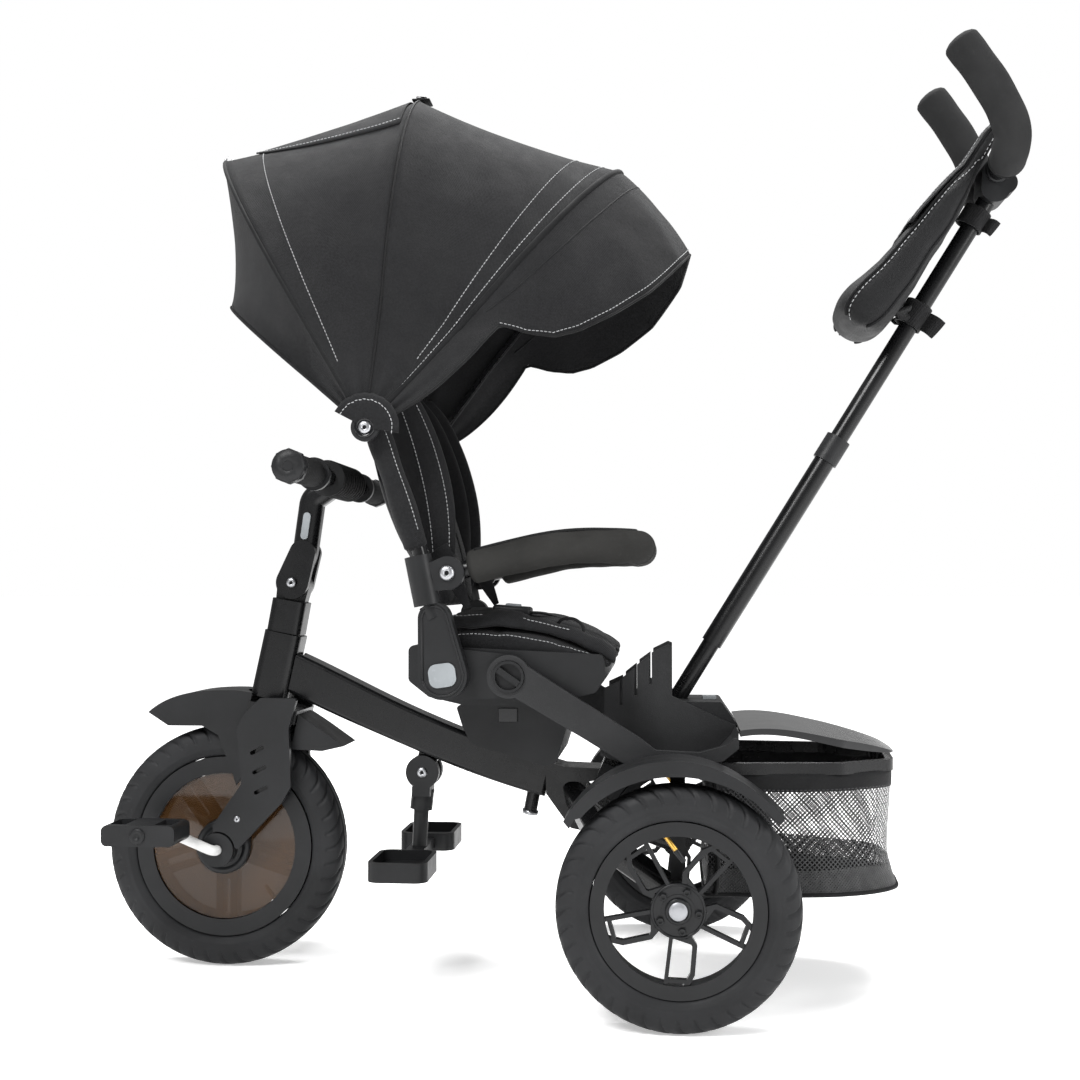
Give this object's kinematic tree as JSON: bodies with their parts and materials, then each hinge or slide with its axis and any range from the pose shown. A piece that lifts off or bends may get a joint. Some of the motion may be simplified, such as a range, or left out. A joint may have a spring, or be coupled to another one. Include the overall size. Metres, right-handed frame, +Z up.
{
  "type": "children's tricycle",
  "caption": "Children's push tricycle: rear-facing reclining seat, folding canopy, guard bar, telescopic parent handle, foot rests and mesh basket",
  "frame": {"origin": "On the ground, under the middle of the tricycle's length and width", "axes": "+X from the front wheel towards the push handle, +Y to the tricycle's left side as its push handle faces you, +Z up"},
  "size_m": [1.0925, 0.508, 1.0814],
  "materials": {
    "black_frame_paint": "satin",
    "black_plastic": "matte",
    "gloss_black_plastic": "gloss",
    "tyre_rubber": "matte",
    "smoked_plastic": "gloss",
    "bright_steel": "satin",
    "foam_grip": "matte",
    "dark_canvas": "matte",
    "black_mesh": "matte",
    "grey_button": "satin"
  },
  "bodies": {
    "frame": {"head_tube": "black_frame_paint", "main_tube": "black_frame_paint", "rear_yoke": "black_plastic", "rear_axle": "black_frame_paint", "rear_fenders": "black_plastic", "footrests": "black_plastic", "pole_socket": "black_plastic", "seat_column": "black_plastic", "basket_lid": "gloss_black_plastic", "basket_ring": "gloss_black_plastic", "mesh_basket": "black_mesh", "pole_lower": "black_frame_paint", "pole_collar": "black_plastic"},
    "fork": {"fork": "black_frame_paint", "fork_covers": "black_plastic", "front_fender": "black_plastic", "steering_column": "black_plastic"},
    "front_wheel": {"front_tyre": "tyre_rubber", "front_rim": "black_plastic", "smoked_wheel_covers": "smoked_plastic", "crank_axle": "bright_steel"},
    "pedal_left": {"pedal_left": "black_plastic"},
    "pedal_right": {"pedal_right": "black_plastic"},
    "handlebar": {"stem_upper": "black_plastic", "handlebar": "black_frame_paint", "grip_left": "foam_grip", "grip_right": "foam_grip"},
    "stem_button": {"stem_button": "grey_button"},
    "rear_wheel_left": {"rear_tyre_left": "tyre_rubber", "rear_rim_left": "black_plastic"},
    "rear_wheel_right": {"rear_tyre_right": "tyre_rubber", "rear_rim_right": "black_plastic"},
    "foot_pegs": {"foot_peg_arm": "black_plastic", "foot_peg_trays": "black_plastic"},
    "seat": {"seat_shell": "black_plastic", "seat_cushion": "dark_canvas"},
    "seat_latch": {"seat_latch": "black_plastic"},
    "seat_knob_left": {"seat_knob_left": "black_plastic"},
    "seat_knob_right": {"seat_knob_right": "black_plastic"},
    "backrest": {"recline_arms": "black_plastic", "back_fittings": "black_plastic", "back_tube": "black_frame_paint", "back_pad": "dark_canvas", "rear_bow": "black_frame_paint", "canopy_rear_panel": "dark_canvas", "canopy_curtain": "dark_canvas"},
    "recline_button_left": {"recline_button_left": "grey_button"},
    "recline_button_right": {"recline_button_right": "grey_button"},
    "guard_bar": {"guard_bar": "black_frame_paint", "guard_foam": "foam_grip"},
    "canopy_mid": {"mid_bow": "black_frame_paint", "canopy_front_panel": "dark_canvas"},
    "canopy_front": {"front_bow": "black_frame_paint", "canopy_visor": "dark_canvas"},
    "pole": {"pole_upper": "black_frame_paint", "handle_bracket": "black_plastic", "parents_bag": "dark_canvas"},
    "handle": {"handle_bar": "black_frame_paint", "handle_grips": "foam_grip"},
    "pole_button": {"pole_button": "grey_button"}
  },
  "joints": [
    {"name": "steering", "type": "hinge", "parent": "frame", "child": "fork", "pos_m": [-0.3465, 0, 0.324], "axis": [0.2118, 0, 0.9773], "range_deg": [-20, 20]},
    {"name": "front_wheel_spin", "type": "hinge", "parent": "fork", "child": "front_wheel", "pos_m": [-0.3995, 0, 0.145], "axis": [0, 1, 0], "continuous": true},
    {"name": "pedal_left_spin", "type": "hinge", "parent": "front_wheel", "child": "pedal_left", "pos_m": [-0.3347, 0.11, 0.11476], "axis": [0, 1, 0], "continuous": true},
    {"name": "pedal_right_spin", "type": "hinge", "parent": "front_wheel", "child": "pedal_right", "pos_m": [-0.4643, -0.11, 0.17524], "axis": [0, 1, 0], "continuous": true},
    {"name": "handlebar_fold", "type": "hinge", "parent": "fork", "child": "handlebar", "pos_m": [-0.3185, 0, 0.464], "axis": [0, 1, 0], "range_deg": [-35, 0]},
    {"name": "stem_button_press", "type": "slide", "parent": "handlebar", "child": "stem_button", "axis": [0, 1, 0], "range_m": [0, 0.0025], "stiffness_N_per_m": 400},
    {"name": "rear_wheel_left_spin", "type": "hinge", "parent": "frame", "child": "rear_wheel_left", "pos_m": [0.1475, 0.225, 0.1275], "axis": [0, 1, 0], "continuous": true},
    {"name": "rear_wheel_right_spin", "type": "hinge", "parent": "frame", "child": "rear_wheel_right", "pos_m": [0.1475, -0.225, 0.1275], "axis": [0, 1, 0], "continuous": true},
    {"name": "foot_pegs_fold", "type": "hinge", "parent": "frame", "child": "foot_pegs", "pos_m": [-0.1575, 0, 0.236], "axis": [0, 1, 0], "range_deg": [-80, 0]},
    {"name": "seat_lift", "type": "slide", "parent": "frame", "child": "seat", "axis": [0, 0, 1], "range_m": [0, 0.08]},
    {"name": "seat_latch_pull", "type": "slide", "parent": "frame", "child": "seat_latch", "axis": [0, -1, 0], "range_m": [0, 0.008], "stiffness_N_per_m": 300},
    {"name": "seat_knob_left_turn", "type": "hinge", "parent": "frame", "child": "seat_knob_left", "pos_m": [-0.0375, 0.155, 0.36], "axis": [0, 1, 0], "range_deg": [-90, 0]},
    {"name": "seat_knob_right_turn", "type": "hinge", "parent": "frame", "child": "seat_knob_right", "pos_m": [-0.0375, -0.155, 0.36], "axis": [0, 1, 0], "range_deg": [-90, 0]},
    {"name": "backrest_recline", "type": "hinge", "parent": "seat", "child": "backrest", "pos_m": [-0.1085, 0, 0.362], "axis": [0, 1, 0], "range_deg": [-10, 8]},
    {"name": "recline_button_left_press", "type": "slide", "parent": "backrest", "child": "recline_button_left", "axis": [0, -1, 0], "range_m": [0, 0.003], "stiffness_N_per_m": 400},
    {"name": "recline_button_right_press", "type": "slide", "parent": "backrest", "child": "recline_button_right", "axis": [0, 1, 0], "range_m": [0, 0.003], "stiffness_N_per_m": 400},
    {"name": "guard_bar_lift", "type": "hinge", "parent": "backrest", "child": "guard_bar", "pos_m": [-0.1035, 0, 0.474], "axis": [0, 1, 0], "range_deg": [-60, 0]},
    {"name": "canopy_mid_fold", "type": "hinge", "parent": "backrest", "child": "canopy_mid", "pos_m": [-0.1915, 0, 0.633], "axis": [0, 1, 0], "range_deg": [-31, 0], "deforming": ["canopy_rear_panel"]},
    {"name": "canopy_front_fold", "type": "hinge", "parent": "canopy_mid", "child": "canopy_front", "pos_m": [-0.1915, 0, 0.633], "axis": [0, 1, 0], "range_deg": [-31, 0], "deforming": ["canopy_front_panel"]},
    {"name": "pole_telescope", "type": "slide", "parent": "frame", "child": "pole", "axis": [0.5281, 0, 0.8492], "range_m": [-0.1, 0]},
    {"name": "handle_tilt", "type": "hinge", "parent": "pole", "child": "handle", "pos_m": [0.523, 0, 0.945], "axis": [0, 1, 0], "range_deg": [-30, 30]},
    {"name": "pole_button_press", "type": "slide", "parent": "frame", "child": "pole_button", "axis": [0, 0, -1], "range_m": [0, 0.003], "stiffness_N_per_m": 400}
  ],
  "couplings": [
    {"joint": "canopy_front_fold", "follows": "canopy_mid_fold", "ratio": 1}
  ]
}
